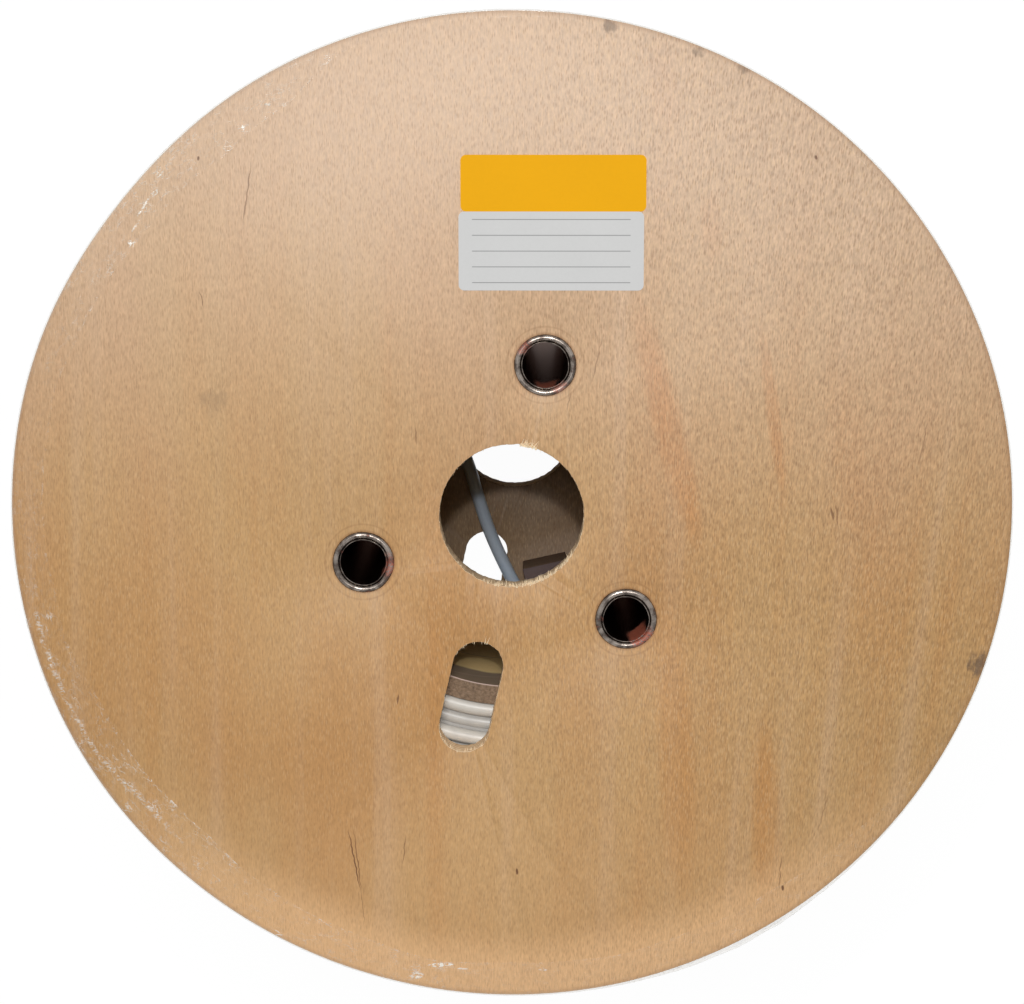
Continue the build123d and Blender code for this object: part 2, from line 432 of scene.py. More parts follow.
def plywood_finish(look):
    """Rotary-cut veneer with short pores on the faces, and plies on the sawn edges."""
    paint = new_paint("plywood")
    place = paint.place()
    x, y, z = paint.split(place)
    x_mm, y_mm = x * (1 / MM), y * (1 / MM)
    face = paint.slope(abs(paint.tilt()), 0.55, 0.85)

    lean = paint.slope(x, 0.0, FLANGE_RADIUS, 0.0, 0.12)
    drift = paint.cloud(paint.scaled(place, (8.0, 4.0, 40.0)), detail=1.0)
    drifted = x + (drift - 0.5) * (9.0 * MM)
    across = drifted - lean * y
    grain = paint.join(across, y, z)
    tone = paint.cloud(paint.scaled(grain, (11.0, 5.0, 30.0)), detail=2.0)
    bands = paint.cloud(paint.scaled(grain, (70.0, 2.2, 30.0), (7.0, 3.0, 0.0)), detail=3.0)
    fibre = paint.cloud(paint.scaled(grain, (1500.0, 210.0, 200.0)), detail=2.0, roughness=0.7)
    short = paint.cloud(paint.scaled(grain, (1200.0, 420.0, 200.0), (5.0, 9.0, 0.0)), detail=1.0)
    pores = paint.dashes(paint.scaled(grain, (1050.0, 270.0, 100.0)), 0.1, 0.42, 0.5)
    flecks = paint.dashes(paint.scaled(grain, (1000.0, 250.0, 100.0), (3.3, 8.7, 1.0)), 0.1, 0.42, 0.45)
    long_pores = paint.dashes(paint.scaled(grain, (420.0, 60.0, 100.0), (1.3, 2.7, 4.0)), 0.05, 0.2, 0.16)

    veneer = paint.mix(paint.slope(tone, 0.35, 0.68), look.tan, look.warm)
    veneer = paint.mix(paint.slope(bands, 0.5, 0.8) * 0.35, veneer, look.streak)
    veneer = paint.mix(paint.slope(bands, 0.5, 0.2) * 0.3, veneer, look.pale)
    front = paint.slope(z, MIDDLE, FRONT_LOW.z)
    streaked = 0.0
    drifted_mm = drifted * (1 / MM)
    for middle_x, middle_y, half_x, half_y, slant, strength in STREAKS:
        middle, halves = (middle_x, middle_y), (half_x, half_y)
        streak = paint.ellipse(drifted_mm, y_mm, middle, halves, -slant, 1.0, 0.0, strength)
        streaked = paint.most(streak, streaked)
    veneer = paint.mix(streaked * front * paint.slope(bands, 0.2, 0.55, 0.35, 1.0), veneer, look.streak)
    # Painted sheen: the front face turns paler towards its top, by the labels.
    top_sheen = paint.slope(y + (tone - 0.5) * 0.12 + paint.slope(x, -0.1, 0.2) * 0.02, -0.05, 0.21)
    veneer = paint.mix(top_sheen * front * 0.85, veneer, look.pale)
    outward = paint.reach(x, y)
    # Painted sheen: the front face turns paler towards its rim at the bottom, under the film.
    near_rim = paint.slope(outward + (tone - 0.5) * 0.02, 0.19, 0.212) * 0.6 + 0.25
    veneer = paint.mix(paint.slope(y, -0.1, -0.205) * near_rim * front, veneer, look.film_sheen_and_pressed_ring)
    # Painted shade: the faces towards the barrel take the duller, darker inside colour.
    inner = paint.slope(abs(z - MIDDLE), MIDDLE - REAR_HIGH.z + 2.0 * MM, MIDDLE - REAR_HIGH.z + 1.0 * MM)
    veneer = paint.mix(inner * 0.7, veneer, look.inside)
    coarse = paint.slope(x, -0.1, 0.12, 0.75, 1.2) * paint.slope(y, -0.19, -0.05, 0.72, 1.0)
    level = paint.slope(x, -0.05, 0.15, 1.0, 0.95) + ((fibre - 0.5) * 0.6 + (short - 0.5) * 0.5) * coarse
    veneer = paint.dimmed(veneer, level)
    veneer = paint.mix(flecks * 0.26 * coarse, veneer, look.fleck)
    veneer = paint.mix(paint.most(pores * 0.3, long_pores * 0.28) * coarse, veneer, look.pore)

    cracks = 0.0
    wander = (paint.cloud(paint.scaled(place, (260.0, 260.0, 260.0)), detail=1.0) - 0.5) * 1.6
    wandered = x_mm + wander
    for x_top, y_top, x_foot, y_foot, half_x, strength in CRACKS:
        run = (x_foot - x_top) / (y_foot - y_top)
        middle = ((x_top + x_foot) / 2, (y_top + y_foot) / 2)
        halves = (half_x, abs(y_top - y_foot) / 2 + 0.4)
        crack = paint.ellipse(wandered, y_mm, middle, halves, run, 1.3, 0.35, strength)
        cracks = paint.most(crack, cracks)
    cracks = cracks * front
    bruised = 0.0
    torn = paint.cloud(paint.scaled(grain, (330.0, 190.0, 200.0)), detail=3.0, roughness=0.65)
    for middle_x, middle_y, reach, strength in BRUISES:
        side, rise = (x_mm - middle_x) / reach, (y_mm - middle_y) / reach
        away = side * side + rise * rise + (torn - 0.5) * 3.0
        bruised = paint.most(paint.slope(away, 1.0, 0.0) * strength, bruised)
    veneer = paint.mix(bruised * front, veneer, look.bruise)
    veneer = paint.mix(cracks, veneer, look.crack)

    # Painted shade just outside each tube's rim, a dented ring mark further out, and the face darker within 3
    # mm of its rim.
    ring_mark_and_shade = 0.0
    for spot in TUBE_PLACES:
        away = paint.reach(x - spot.x, y - spot.y)
        film_sheen_and_pressed_ring = paint.slope(abs(away - 17.2 * MM + (tone - 0.5) * (1.2 * MM)), 0.7 * MM, 0.1 * MM) * 0.22
        # Painted shade just outside the tube's rim.
        shade = paint.slope(away, 15.2 * MM, 13.9 * MM) * 0.45
        ring_mark_and_shade = paint.most(paint.most(film_sheen_and_pressed_ring, shade), ring_mark_and_shade)
    rim_darkening = paint.slope(outward + (short - 0.5) * (2.0 * MM), FLANGE_RADIUS - 3.0 * MM, FLANGE_RADIUS) * 0.4
    veneer = paint.mix(paint.most(ring_mark_and_shade, rim_darkening), veneer, look.pore)

    ply = FLANGE_THICKNESS / look.plies
    foot = paint.maths("GREATER_THAN", z, MIDDLE) * (FRONT_LOW.z - REAR_LOW.z) + REAR_LOW.z
    swing = paint.maths("PINGPONG", (z - foot) / ply - 0.5, 1.0)
    rough_cut = paint.cloud(paint.scaled(place, (420.0, 420.0, 1300.0)), detail=3.0, roughness=0.6)
    sawn = paint.mix(paint.slope(swing + (rough_cut - 0.5) * 0.5, 0.4, 0.6), look.edge_light, look.edge_dark)
    sawn = paint.mix(paint.slope(abs(swing - 0.5), 0.12, 0.02) * 0.7, sawn, look.glue)
    sawn = paint.dimmed(sawn, 0.82 + rough_cut * 0.5)

    height = fibre * 0.5 + short * 0.4
    rough = 0.95 - face * paint.slope(fibre, 0.2, 0.8, 0.52, 0.38)
    return paint.finish(
        {
            "Base Color": paint.mix(face, sawn, veneer),
            "Roughness": rough,
            "Specular IOR Level": 0.4,
            "Normal": paint.bump(height * face, 0.35, 0.3 * MM),
        }
    )


def splinter_finish(look):
    """Pale torn fibres round the holes."""
    paint = new_paint("torn_fibre")
    shade = paint.cloud(paint.scaled(paint.place(), (700.0, 300.0, 300.0)), detail=2.0)
    tint = paint.mix(paint.slope(shade, 0.3, 0.7), look.edge_light, look.torn)
    return paint.finish({"Base Color": tint, "Roughness": 0.7})


def cardboard_finish(look):
    """Mottled wound board: rings on its ends and spiral seams on its walls."""
    paint = new_paint("cardboard")
    place = paint.place()
    x, y, z = paint.split(place)
    end = paint.slope(abs(paint.tilt()), 0.6, 0.9)
    outward = paint.reach(x, y)
    turn = paint.maths("ARCTAN2", y, x)
    mottle = paint.cloud(paint.scaled(place, (760.0, 760.0, 760.0)), detail=4.0, roughness=0.62)
    blotch = paint.cloud(paint.scaled(place, (60.0, 60.0, 60.0)), detail=2.0)
    layers = paint.cloud(paint.join(outward * 1300.0, turn * 60.0, 0.0), detail=2.0)
    board = paint.mix(paint.slope(mottle, 0.3, 0.58), look.dark, look.board)
    board = paint.mix(paint.slope(mottle, 0.52, 0.72) * 0.4, board, look.light)
    ends = paint.dimmed(paint.mix(paint.slope(layers, 0.4, 0.7) * 0.25, board, look.light), 0.7)
    lip = paint.slope(outward, BARREL_HIGH.x - 8.3 * MM, BARREL_HIGH.x - 8.9 * MM) * 0.8
    ends = paint.mix(lip, ends, look.lip)
    plain = paint.mix(0.75, board, look.wall)
    strip = paint.maths("FRACT", z / look.seam + turn / math.tau + 8.0)
    seam = paint.slope(abs(strip - 0.5), 0.012, 0.003) * 0.8
    walls = paint.mix(seam * 0.5, paint.dimmed(plain, 0.85 + blotch * 0.3), look.dark)
    depth = BARREL_HIGH.z - z - (blotch - 0.5) * (6.0 * MM)
    # Painted shade: the walls darken just under the front end, where the front flange shades them.
    board_shade = paint.slope(depth, 24.0 * MM, 21.0 * MM)
    walls = paint.mix(board_shade * 0.8, walls, look.board_shade)
    slant = z - BARREL_HIGH.z + 12.0 * MM + (turn - SLOT_ANGLE) * (24.0 * MM)
    walls = paint.mix(paint.slope(abs(slant), 0.6 * MM, 0.2 * MM) * 0.45, walls, look.light)
    return paint.finish(
        {
            "Base Color": paint.mix(end, walls, ends),
            "Roughness": 0.85,
            "Normal": paint.bump(mottle + layers * end - seam * 0.5, 0.4, 0.3 * MM),
        }
    )


def tongue_finish(look):
    """Dull board of the tongue, painted darker on its upward face as shade, so that its fold reads lighter.
    """
    paint = new_paint("tongue_board")
    mottle = paint.cloud(paint.scaled(paint.place(), (520.0, 520.0, 520.0)), detail=3.0)
    # Painted shade: the upward face gets a darker colour than the sides.
    tint = paint.mix(paint.slope(paint.tilt(), 0.4, 0.8), look.dark, look.board_shade)
    return paint.finish({"Base Color": paint.dimmed(tint, 0.85 + mottle * 0.4), "Roughness": 0.9})


# Rusty places of the tube rims: middle in millimetres from the drum's axis, radius, strength
RUST = (
    (5.0, 77.0, 5.0, 0.7),
    (-55.0, -23.0, 7.0, 0.8),
    (59.5, -56.0, 7.5, 1.0),
    (22.0, 58.0, 5.0, 0.6),
)


def steel_finish(look):
    """Rolled steel with stains, fine turning marks and patches of rust."""
    paint = new_paint("tube_steel")
    place = paint.place()
    stain = paint.cloud(paint.scaled(place, (240.0, 240.0, 160.0)), detail=4.0, roughness=0.6)
    speck = paint.cloud(paint.scaled(place, (1300.0, 1300.0, 900.0)), detail=2.0)
    stained = paint.slope(stain, 0.6, 0.74) * 0.5
    rusty = paint.patches(RUST, place, (stain - 0.5) * 1.4, 0.35, stained)
    tint = paint.mix(paint.slope(stain, 0.35, 0.65), look.bright, look.dull)
    tint = paint.mix(rusty * paint.slope(speck, 0.3, 0.6), tint, look.rust)
    return paint.finish(
        {
            "Base Color": tint,
            "Metallic": 1.0 - rusty * 0.8,
            "Roughness": paint.slope(stain, 0.3, 0.75, 0.2, 0.42) + rusty * 0.25,
            "Normal": paint.bump(stain + speck * 0.25, 0.25, 0.25 * MM),
        }
    )


# Rust just inside the tubes' front ends: middle in millimetres from the drum's axis, radius, strength
BORE_RUST = ((15.5, 58.3, 6.5, 0.7), (57.6, -55.6, 6.2, 1.0), (-58.0, -25.5, 4.0, 0.5))


def bore_finish(look):
    """Dull inside of the tie tubes, with rust near the front rims."""
    paint = new_paint("tube_bore")
    place = paint.place()
    blotch = paint.cloud(paint.scaled(place, (190.0, 190.0, 70.0)), detail=3.0)
    rusty = paint.patches(BORE_RUST, place, blotch - 0.5, 0.5, 0.0)
    depth = FRONT_HIGH.z - paint.split(place)[2] - (blotch - 0.5) * (20.0 * MM)
    rusty = rusty * paint.slope(depth, 22.0 * MM, 14.0 * MM)
    tint = paint.dimmed(paint.mix(rusty, look.bore, look.rust), 0.7 + blotch * 0.6)
    return paint.finish(
        {
            "Base Color": tint,
            "Metallic": 1.0 - rusty,
            "Roughness": 0.28 + rusty * 0.4,
            "Specular Tint": solid(look.glance),
        }
    )


def cable_finish(name, tint, look, valley_shade):
    """Smooth sheath with a little dust, and painted shade in the valleys of the winding's ends."""
    paint = new_paint(name)
    place = paint.place()
    dust = paint.cloud(paint.scaled(place, (45.0, 45.0, 140.0)), detail=4.0, roughness=0.6)
    grain = paint.cloud(paint.scaled(place, (900.0, 900.0, 900.0)), detail=2.0)
    tint = paint.mix(paint.slope(dust, 0.45, 0.75) * 0.6, tint, look.dust)
    x, y, z = paint.split(place)
    near = paint.slope(paint.reach(x, y), 0.124, 0.118)
    half = WINDING_HIGH.z - MIDDLE
    deep = paint.slope(abs(z - MIDDLE), half - 1.0 * MM, half - 6.0 * MM)
    # Painted shade in the recessed valleys near the barrel.
    tint = paint.mix(deep * near * valley_shade, tint, look.valley)
    return paint.finish(
        {
            "Base Color": paint.dimmed(tint, 0.96 + grain * 0.08),
            "Roughness": paint.slope(dust, 0.3, 0.8, 0.34, 0.5),
            "Normal": paint.bump(grain, 0.08, 0.2 * MM),
        }
    )


# Painted highlights: gleams of the film on the labelled face, where it turns opaque and white: middle, half
# width and half height in millimetres, slant, strength
GLEAMS = (
    (-32.2, -210.4, 7.0, 1.2, 0.0, 0.95),
    (-22.0, -212.0, 3.5, 0.6, 0.0, 0.6),
    (-44.2, -215.3, 4.5, 1.8, 0.3, 0.55),
    (14.5, -212.6, 2.2, 0.8, 0.0, 0.5),
    (-168.9, 123.1, 1.1, 1.3, 0.0, 0.95),
    (-166.0, 130.5, 0.7, 3.4, 0.7, 0.75),
    (-163.2, 137.6, 0.6, 3.6, 0.7, 0.7),
    (-160.2, 142.4, 0.6, 3.2, 0.7, 0.7),
    (-155.4, 152.2, 0.6, 3.0, 0.8, 0.6),
    (-118.2, 173.6, 0.8, 1.4, 0.0, 0.85),
    (-107.2, 183.6, 1.6, 0.9, 0.3, 0.6),
)


def film_finish(look):
    """Clear film that shows at its creases, its free edges and where many layers lie together, with painted
    highlights where it turns opaque and white: gleams and a glinting line on the left.
    """
    paint = new_paint("clear_film")
    crease_and_glint = paint.add("ShaderNodeAttribute", {"attribute_name": "crease_and_glint"}, output="Fac")
    layers = paint.add("ShaderNodeAttribute", {"attribute_name": "layers"}, output="Fac")
    place = paint.place()
    x, y, z = paint.split(place)
    turn = paint.maths("ARCTAN2", y, x)
    out = paint.reach(x, y)
    drawn = paint.cloud(paint.join(turn * 5.0, z * 260.0, 0.0), detail=3.0)
    fine = paint.cloud(paint.scaled(place, (210.0, 210.0, 210.0)), detail=3.0)
    folds = paint.cloud(paint.join(turn * 26.0 + out * 60.0, out * 300.0, z * 60.0), detail=2.0)
    wisps = paint.cloud(paint.join(turn * 60.0 - out * 130.0, out * 330.0, z * 60.0 + 4.0), detail=2.0)
    faint = paint.slope(abs(wisps - 0.5), 0.026, 0.003) * 0.8
    lines = paint.most(paint.slope(abs(folds - 0.5), 0.03, 0.003), faint)
    front = paint.slope(z, MIDDLE, FRONT_LOW.z)
    # Painted highlight: a glinting line along the rim on the left.
    wave = paint.cloud(paint.join(turn * 34.0, z * 20.0, 2.0), detail=4.0, roughness=0.7)
    path = 0.2196 - paint.slope(turn, -2.72, -2.42) * 0.006 + (wave - 0.5) * 0.007
    arc = paint.slope(turn, -2.96, -2.92) * paint.slope(turn, -2.36, -2.42) * front
    spark = paint.cloud(paint.scaled(place, (620.0, 1100.0, 300.0)), detail=2.0, roughness=0.6)
    glint_line = paint.slope(abs(out - path), 1.8 * MM, 0.2 * MM) * arc * paint.slope(spark, 0.42, 0.62)
    gleam = 0.0
    x_mm, y_mm = x * (1 / MM), y * (1 / MM)
    for middle_x, middle_y, half_x, half_y, slant, strength in GLEAMS:
        middle, halves = (middle_x, middle_y), (half_x, half_y)
        glow = paint.ellipse(x_mm, y_mm, middle, halves, slant, 1.0, 0.4, strength)
        gleam = paint.most(glow, gleam)
    gleam = gleam * paint.slope(spark, 0.44, 0.52) * front
    hides = look.flat_share + layers * look.side_share * (0.6 + drawn * 0.8)
    # Painted highlights: the film turns opaque and white along its fold lines, its glinting line and its
    # gleams.
    hides = hides + crease_and_glint * (lines * 0.9 * paint.slope(fine, 0.35, 0.6) + 0.02) + glint_line * 0.45 + gleam
    return paint.finish(
        {
            "Base Color": solid(look.tint),
            "Roughness": paint.slope(fine, 0.3, 0.8, 0.08, 0.22),
            "Alpha": paint.maths("MINIMUM", hides, 0.92),
            "Normal": paint.bump(drawn * layers + fine * 0.4 + lines * crease_and_glint, 0.2, 0.4 * MM),
        }
    )


def paper_finish(name, tint, rule=None):
    """Matt paper with faint fibres, and thin plain rules where a rule colour is given."""
    paint = new_paint(name)
    place = paint.place()
    x, y = paint.split(place)[:2]
    fibre = paint.cloud(paint.scaled(place, (800.0, 800.0, 800.0)), detail=3.0)
    cloud = paint.cloud(paint.scaled(place, (40.0, 40.0, 40.0)), detail=2.0)
    paper = paint.dimmed(tint, 0.95 + fibre * 0.05 + cloud * 0.05)
    if rule is not None:
        low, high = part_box(name)
        step = (high.y - low.y) / 5
        line = paint.maths("FRACT", (y - low.y) / step)
        middle, width = (low + high) / 2, high.x - low.x
        inset = paint.slope(abs(x - middle.x), width * 0.43, width * 0.425)
        within = paint.slope(abs(y - middle.y), step * 2.2, step * 2.15)
        paper = paint.mix(paint.slope(abs(line - 0.5), 0.035, 0.02) * inset * within, paper, rule)
    return paint.finish(
        {
            "Base Color": paper,
            "Roughness": 0.6,
            "Specular IOR Level": 0.12,
            "Normal": paint.bump(fibre, 0.06, 0.2 * MM),
        }
    )


def along(stops, value):
    """The height at a value on a line drawn through stops of value and height."""
    for (before, low), (after, high) in zip(stops, stops[1:]):
        if before <= value <= after:
            return low + (high - low) * (value - before) / (after - before)
    raise ValueError(f"{value} is outside the stops")


def degrees(spot):
    return math.degrees(math.atan2(spot.y, spot.x)) % 360


def outward_way(angle):
    """The direction from the drum's axis at an angle in degrees."""
    turn = math.radians(angle)
    return Vector((math.cos(turn), math.sin(turn), 0))


def new_piece(name, mesh, materials, nodes=(), smooth=None):
    """Puts a finished mesh into the scene as a piece that rides on the drum."""
    piece = bpy.data.objects.new(name, mesh)
    bpy.context.scene.collection.objects.link(piece)
    for material in materials:
        mesh.materials.append(material)
    if smooth is not None:
        mesh.polygons.foreach_set("use_smooth", [True] * len(mesh.polygons))
        mesh.set_sharp_from_angle(angle=math.radians(smooth))
    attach(piece, "root")
    if nodes:
        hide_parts(*nodes)
    return piece


def made_mesh(name, bm):
    mesh = bpy.data.meshes.new(name)
    bm.to_mesh(mesh)
    bm.free()
    return mesh


def spin_line(bm, points, steps, closed=True, angle=math.tau):
    """Spins a line of radius and height about the drum's axis."""
    spots = [bm.verts.new((radius, 0, height)) for radius, height in points]
    pairs = list(zip(spots, spots[1:])) + ([(spots[-1], spots[0])] if closed else [])
    edges = [bm.edges.new(pair) for pair in pairs]
    whole = angle == math.tau
    bmesh.ops.spin(bm, geom=spots + edges, axis=(0, 0, 1), angle=angle, steps=steps, use_merge=whole)


def round_edges(bm, geom, offset, affect="EDGES", segments=2):
    bmesh.ops.bevel(
        bm,
        geom=geom,
        offset=offset,
        offset_type="OFFSET",
        affect=affect,
        segments=segments,
        profile=0.5,
        material=-1,
    )


def tidy_shell(bm):
    bmesh.ops.remove_doubles(bm, verts=bm.verts, dist=0.001 * MM)
    bmesh.ops.recalc_face_normals(bm, faces=bm.faces)


def aim(spot, target):
    """The turn of a camera or lamp at a spot that looks at a target, with +Y at the top of its view."""
    back = (spot - target).normalized()
    right = Vector((0, 1, 0)).cross(back).normalized()
    return Matrix((right, back.cross(right), back)).transposed().to_euler()


def set_camera(look):
    camera = bpy.data.objects.new("camera", bpy.data.cameras.new("camera"))
    bpy.context.scene.collection.objects.link(camera)
    camera.data.sensor_fit = "HORIZONTAL"
    camera.data.sensor_width = 36.0
    camera.data.lens = look.lens
    camera.data.clip_end = 50.0
    camera.data.shift_y = CAMERA_SHIFT
    camera.location = CAMERA_PLACE
    camera.rotation_euler = aim(camera.location, Vector(CAMERA_TARGET))
    bpy.context.scene.camera = camera


def set_lamp(name, spot, target, size, power):
    lamp = bpy.data.objects.new(name, bpy.data.lights.new(name, "AREA"))
    bpy.context.scene.collection.objects.link(lamp)
    lamp.data.shape = "DISK"
    lamp.data.size = size
    lamp.data.energy = power
    lamp.location = spot
    lamp.rotation_euler = aim(Vector(spot), Vector(target))
    lamp.visible_camera = False


def seen_white(paint):
    """One for rays from the camera, off gloss or through glass."""
    path = paint.add("ShaderNodeLightPath").socket.node
    names = ("Is Camera Ray", "Is Glossy Ray", "Is Transmission Ray")
    camera, glossy, through = (Value(paint, path.outputs[name]) for name in names)
    return paint.maths("MINIMUM", camera + glossy + through, 1.0)


def set_floor(look):
    bm = bmesh.new()
    bmesh.ops.create_grid(bm, x_segments=1, y_segments=1, size=FLOOR_SIZE)
    floor = bpy.data.objects.new("floor", made_mesh("floor", bm))
    bpy.context.scene.collection.objects.link(floor)
    paint = new_paint("floor")
    shaded = paint.add("ShaderNodeBsdfDiffuse", inputs={"Color": (0.5, 0.5, 0.5, 1)})
    white = paint.add("ShaderNodeEmission", inputs={"Color": (1, 1, 1, 1), "Strength": 1.08})
    glow = seen_white(paint) * look.floor_glow
    mixed = paint.add("ShaderNodeMixShader", inputs={0: glow, 1: shaded, 2: white})
    paint.add("ShaderNodeOutputMaterial", inputs={"Surface": mixed})
    floor.data.materials.append(paint.owner)


def set_world(look):
    paint = Paint(bpy.context.scene.world or bpy.data.worlds.new("studio"))
    bpy.context.scene.world = paint.owner
    dim = paint.add("ShaderNodeBackground", inputs={"Color": (1, 1, 1, 1), "Strength": look.room})
    white = paint.add("ShaderNodeBackground", inputs={"Color": (1, 1, 1, 1), "Strength": 1.0})
    mixed = paint.add("ShaderNodeMixShader", inputs={0: seen_white(paint), 1: dim, 2: white})
    paint.add("ShaderNodeOutputWorld", inputs={"Surface": mixed})


class DRUM_OT_stage(bpy.types.Operator):
    """Sets the camera above the labelled flange, the white floor, the room light and two lamps"""

    bl_idname = "drum.stage"
    bl_label = "Stage"

    def execute(self, context):
        look = context.scene.drum_stage
        context.scene.view_settings.view_transform = "Standard"
        set_camera(look)
        set_floor(look)
        set_world(look)
        face = (0, 0, FRONT_HIGH.z)
        set_lamp("key_lamp", KEY_PLACE, face, KEY_SIZE, look.key)
        set_lamp("soft_lamp", SOFT_PLACE, face, SOFT_SIZE, look.soft)
        return {"FINISHED"}


# Route of the cable's loose end in millimetres: from the winding, through the notch, along the rear flange
TAIL_ROUTE = ((1.0, -88.5), (-10.5, -66.0), (-19.0, -41.0), (-25.5, -17.5), (-37.0, 9.0), (-51.0, 36.0))
TAIL_HEIGHT = 17.45


class DRUM_OT_cable_tail(bpy.types.Operator):
    """Lays the cable's loose inner end on the rear flange, inside the barrel"""

    bl_idname = "drum.cable_tail"
    bl_label = "Cable tail"

    def execute(self, context):
        look = context.scene.drum_cable
        line = bpy.data.curves.new("cable_tail", "CURVE")
        line.dimensions = "3D"
        spline = line.splines.new("NURBS")
        spline.points.add(len(TAIL_ROUTE) - 1)
        for point, (x, y) in zip(spline.points, TAIL_ROUTE):
            point.co = (x * MM, y * MM, TAIL_HEIGHT * MM, 1.0)
        spline.order_u = 3
        spline.use_endpoint_u = True
        spline.resolution_u = 16
        line.bevel_depth = look.diameter / 2
        line.bevel_resolution = 6
        line.use_fill_caps = True
        piece = bpy.data.objects.new("cable_tail_piece", line)
        context.scene.collection.objects.link(piece)
        # Painted shade: the loose end takes the bluer, darker sheath colour.
        line.materials.append(cable_finish("cable_tail_sheath", look.tail, look, 0.0))
        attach(piece, "root")
        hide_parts("cable_tail")
        return {"FINISHED"}


def rim_radius(angle, seed):
    """Radius of a sawn rim at an angle in degrees, a little uneven and flattened at the upper left."""
    turn = math.radians(angle)
    uneven = noise.noise(Vector((math.cos(turn) * 2.5, math.sin(turn) * 2.5, seed))) * 0.3 * MM
    away = (angle - RIM_DENT_ANGLE + 180) % 360 - 180
    return FLANGE_RADIUS - 0.35 * MM + uneven - 1.7 * MM * math.exp(-((away / 16) ** 2))


def loop_edges(verts):
    return list({edge for vert in verts for edge in vert.link_edges})


def slot_loop(bm, look):
    """A loop of edges round the cable slot."""
    made = bmesh.ops.create_circle(bm, segments=64, radius=look.slot_width / 2)["verts"]
    straight = (look.slot_length - look.slot_width) / 2
    for vert in made:
        vert.co.x += straight if vert.co.x > -0.01 * MM else -straight
    sides = [edge for edge in loop_edges(made) if edge.calc_length() > straight]
    bmesh.ops.subdivide_edges(bm, edges=sides, cuts=16)
    middle = Vector((look.slot_start + look.slot_length / 2, 0, 0))
    matrix = Matrix.Rotation(SLOT_ANGLE, 4, "Z") @ Matrix.Translation(middle)
    bmesh.ops.transform(bm, matrix=matrix, verts=bm.verts)
    return bm.verts[:]


def frayed(spot, seed, amount):
    """A torn edge's shift at a spot: fine teeth with a few longer tears."""
    fine = noise.noise(spot * 1400 + Vector((seed, 0, 0)))
    coarse = noise.noise(spot * 420 + Vector((0, seed, 0)))
    return amount * (fine * 0.7 + max(0.0, coarse - 0.25) * 2.4)


def flange_mesh(name, low, high, look, seed):
    """A plywood disc with a sawn rim, an arbor hole, three tube holes and the cable slot."""
    bm = bmesh.new()
    slot = slot_loop(bm, look)
    rim = bmesh.ops.create_circle(bm, segments=360, radius=FLANGE_RADIUS)["verts"]
    for vert in rim:
        vert.co *= rim_radius(degrees(vert.co), seed) / vert.co.length
    arbor = bmesh.ops.create_circle(bm, segments=200, radius=ARBOR_RADIUS)["verts"]
    for spot in TUBE_PLACES:
        matrix = Matrix.Translation((spot.x, spot.y, 0))
        bmesh.ops.create_circle(bm, segments=48, radius=TUBE_BORE + 0.9 * MM, matrix=matrix)
    torn = [vert.co.copy() for vert in arbor + slot]
    bmesh.ops.triangle_fill(bm, use_beauty=True, use_dissolve=False, edges=bm.edges, normal=(0, 0, 1))
    bmesh.ops.translate(bm, vec=(0, 0, low), verts=bm.verts)
    raised = bmesh.ops.extrude_face_region(bm, geom=bm.faces[:])["geom"]
    lifted = [part for part in raised if isinstance(part, bmesh.types.BMVert)]
    bmesh.ops.translate(bm, vec=(0, 0, high - low), verts=lifted)
    bmesh.ops.recalc_face_normals(bm, faces=bm.faces)
    corners = [edge for edge in bm.edges if edge.calc_face_angle(0) > math.radians(60)]
    round_edges(bm, corners, 0.3 * MM)
    middle = Vector((SLOT_WAY.x, SLOT_WAY.y, 0)) * (look.slot_start + look.slot_length / 2)
    for vert in bm.verts:
        flat = Vector((vert.co.x, vert.co.y, 0))
        if flat.length < ARBOR_RADIUS + 1.0 * MM:
            vert.co += flat.normalized() * frayed(vert.co, seed, look.fray)
        elif min((flat - spot).length for spot in torn) < 1.0 * MM:
            vert.co += (flat - middle).normalized() * frayed(vert.co, seed + 3, look.fray)
    return made_mesh(name, bm)


def fibre_spike(bm, root, way, length, width):
    """One torn fibre: a thin tapered spike."""
    turn = way.to_track_quat("Z", "Y").to_matrix().to_4x4()
    matrix = Matrix.Translation(root + way * (length * 0.5 - width)) @ turn
    bmesh.ops.create_cone(
        bm,
        cap_ends=True,
        cap_tris=True,
        segments=5,
        radius1=width / 2,
        radius2=width * 0.06,
        depth=length,
        matrix=matrix,
    )


